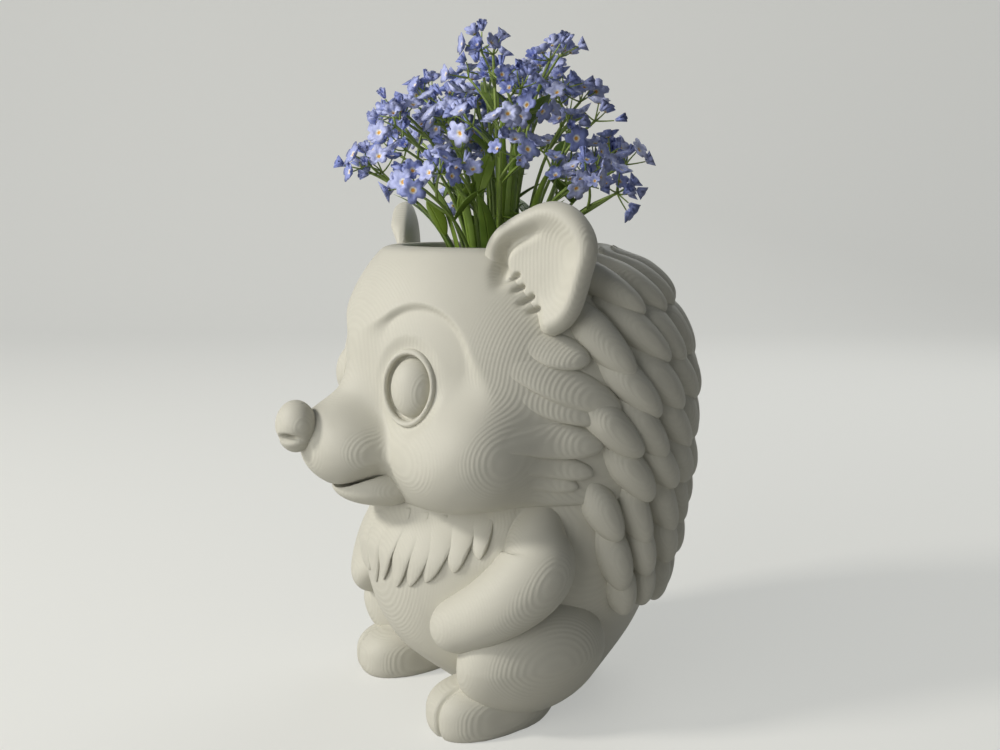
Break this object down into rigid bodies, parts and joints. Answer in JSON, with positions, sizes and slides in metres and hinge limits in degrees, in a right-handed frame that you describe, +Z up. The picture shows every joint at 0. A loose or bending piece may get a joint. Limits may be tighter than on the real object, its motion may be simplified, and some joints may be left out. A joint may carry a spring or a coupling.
{
  "type": "animal shaped planter",
  "caption": "Seated hedgehog planter with an open crown, dished ears, leaf shaped quills on its back and a lift-out grow pot of blue forget-me-nots.",
  "frame": {"origin": "on the floor, under the axis of the opening in the crown", "axes": "+Z up, -Y the way the face looks, +X the animal's left"},
  "size_m": [0.1264, 0.1438, 0.2174],
  "materials": {
    "print": "matte warm light grey with fine layer lines",
    "pot": "matte black thin plastic",
    "soil": "loose dark potting soil",
    "stem": "soft green plant stem",
    "leaf": "soft dark green leaf",
    "petal": "soft blue petal",
    "plug": "black rubber"
  },
  "bodies": {
    "planter": {"torso_shell": "print", "head_shell": "print", "lower_jaw": "print", "nose": "print", "left_eye": "print", "right_eye": "print", "left_eye_rim": "print", "right_eye_rim": "print", "left_ear": "print", "right_ear": "print", "left_cheek_tufts": "print", "right_cheek_tufts": "print", "chest_tuft": "print", "left_arm": "print", "right_arm": "print", "left_thigh": "print", "right_thigh": "print", "left_foot": "print", "right_foot": "print", "quill_row_1": "print", "quill_row_2": "print", "quill_row_3": "print", "quill_row_4": "print", "quill_row_5": "print", "quill_row_6": "print", "quill_row_7": "print", "quill_row_8": "print"},
    "planting": {"grow_pot": "pot", "potting_soil": "soil", "flower_stems": "stem", "leaves": "leaf", "flower_heads": "petal"},
    "drain_stopper": {"drain_plug": "plug"}
  },
  "joints": [
    {"name": "plant_lift", "type": "slide", "parent": "planter", "child": "planting", "axis": [0, 0, 1], "range_m": [0, 0.12]},
    {"name": "drain_plug_pull", "type": "slide", "parent": "planter", "child": "drain_stopper", "axis": [0, 0, 1], "range_m": [0, 0.02]}
  ]
}
